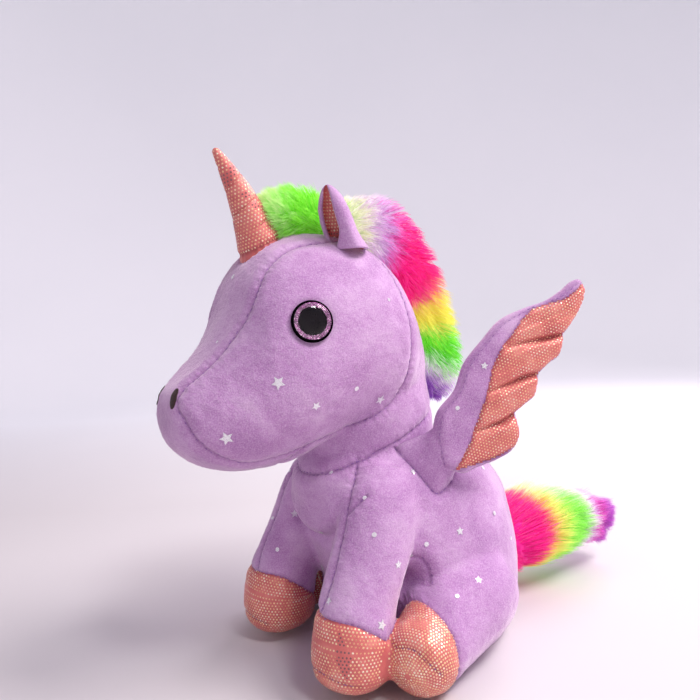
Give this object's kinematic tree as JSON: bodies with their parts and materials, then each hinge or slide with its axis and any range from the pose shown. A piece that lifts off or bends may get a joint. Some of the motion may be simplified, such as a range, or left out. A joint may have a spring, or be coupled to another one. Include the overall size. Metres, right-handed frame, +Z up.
{
  "type": "plush unicorn",
  "caption": "Sitting stuffed plush unicorn with padded wings, a soft horn, safety eyes, glitter hooves and a rainbow fur mane and tail.",
  "frame": {"origin": "centre of the flat seat under the rump, on the surface it sits on", "axes": "+Z up; the unicorn faces -Y; +X is its left side"},
  "size_m": [0.1692, 0.2982, 0.2637],
  "materials": {
    "lavender_minky": "short-pile lavender minky plush, soft sheen",
    "coral_foil_fabric": "coral woven fabric with printed foil dots",
    "polyester_filling": "white polyester fibre filling",
    "rainbow_fur": "long-pile synthetic fur dyed in pink, yellow, green and purple bands",
    "fur_backing": "knitted backing of the long-pile fur",
    "eye_dome": "clear cast acrylic dome",
    "eye_glitter": "purple glitter disc with a black pupil",
    "eye_black": "glossy black moulded plastic",
    "washer_plastic": "white moulded plastic",
    "nostril_thread": "dark brown satin-stitch thread",
    "horn_thread": "coral winding thread"
  },
  "bodies": {
    "torso": {"body_side_left": "lavender_minky", "body_side_right": "lavender_minky", "chest_belly_panel": "lavender_minky", "body_filling": "polyester_filling", "hoof_front_left": "coral_foil_fabric", "hoof_front_right": "coral_foil_fabric", "hoof_hind_left": "coral_foil_fabric", "hoof_hind_right": "coral_foil_fabric", "neck_band": "lavender_minky", "neck_filling": "polyester_filling", "wing_root_left": "lavender_minky", "wing_root_right": "lavender_minky"},
    "head": {"head_side_left": "lavender_minky", "head_side_right": "lavender_minky", "head_gusset": "lavender_minky", "chin_panel": "lavender_minky", "nape_panel_left": "lavender_minky", "nape_panel_right": "lavender_minky", "head_filling": "polyester_filling", "eye_dome_left": "eye_dome", "eye_iris_left": "eye_glitter", "eye_back_left": "eye_black", "eye_washer_left": "washer_plastic", "nostril_left": "nostril_thread", "eye_dome_right": "eye_dome", "eye_iris_right": "eye_glitter", "eye_back_right": "eye_black", "eye_washer_right": "washer_plastic", "nostril_right": "nostril_thread", "horn_shell": "coral_foil_fabric", "horn_filling": "polyester_filling", "horn_thread": "horn_thread", "forelock": "rainbow_fur", "mane_backing": "fur_backing", "mane_pile": "rainbow_fur"},
    "ear_left": {"ear_outer_left": "lavender_minky", "ear_lining_left": "coral_foil_fabric"},
    "ear_right": {"ear_outer_right": "lavender_minky", "ear_lining_right": "coral_foil_fabric"},
    "wing_left": {"wing_back_left": "lavender_minky", "wing_membrane_left": "coral_foil_fabric", "wing_batting_left": "polyester_filling"},
    "wing_right": {"wing_back_right": "lavender_minky", "wing_membrane_right": "coral_foil_fabric", "wing_batting_right": "polyester_filling"},
    "tail": {"tail_core": "fur_backing", "tail_pile": "rainbow_fur"}
  },
  "joints": [
    {"name": "head_nod", "type": "hinge", "parent": "torso", "child": "head", "pos_m": [0, -0.033, 0.118], "axis": [1, 0, 0], "range_deg": [-12, 7], "stiffness_Nm_per_rad": 2.5, "deforming": ["neck_band", "neck_filling"]},
    {"name": "ear_fold_left", "type": "hinge", "parent": "head", "child": "ear_left", "pos_m": [0.028, -0.059, 0.2157], "axis": [0.7783, 0.6082, -0.1561], "range_deg": [-20, 20], "stiffness_Nm_per_rad": 0.02},
    {"name": "ear_fold_right", "type": "hinge", "parent": "head", "child": "ear_right", "pos_m": [-0.028, -0.059, 0.2157], "axis": [0.7783, -0.6082, 0.1561], "range_deg": [-20, 20], "stiffness_Nm_per_rad": 0.02},
    {"name": "wing_swing_left", "type": "hinge", "parent": "torso", "child": "wing_left", "pos_m": [0.049, -0.016, 0.105], "axis": [0, 0, -1], "range_deg": [-10, 35], "stiffness_Nm_per_rad": 0.05},
    {"name": "wing_swing_right", "type": "hinge", "parent": "torso", "child": "wing_right", "pos_m": [-0.049, -0.016, 0.105], "axis": [0, 0, 1], "range_deg": [-10, 35], "stiffness_Nm_per_rad": 0.05},
    {"name": "tail_wag", "type": "hinge", "parent": "torso", "child": "tail", "pos_m": [0, 0.051, 0.03], "axis": [0, 0, 1], "range_deg": [-18, 18], "stiffness_Nm_per_rad": 0.05}
  ]
}
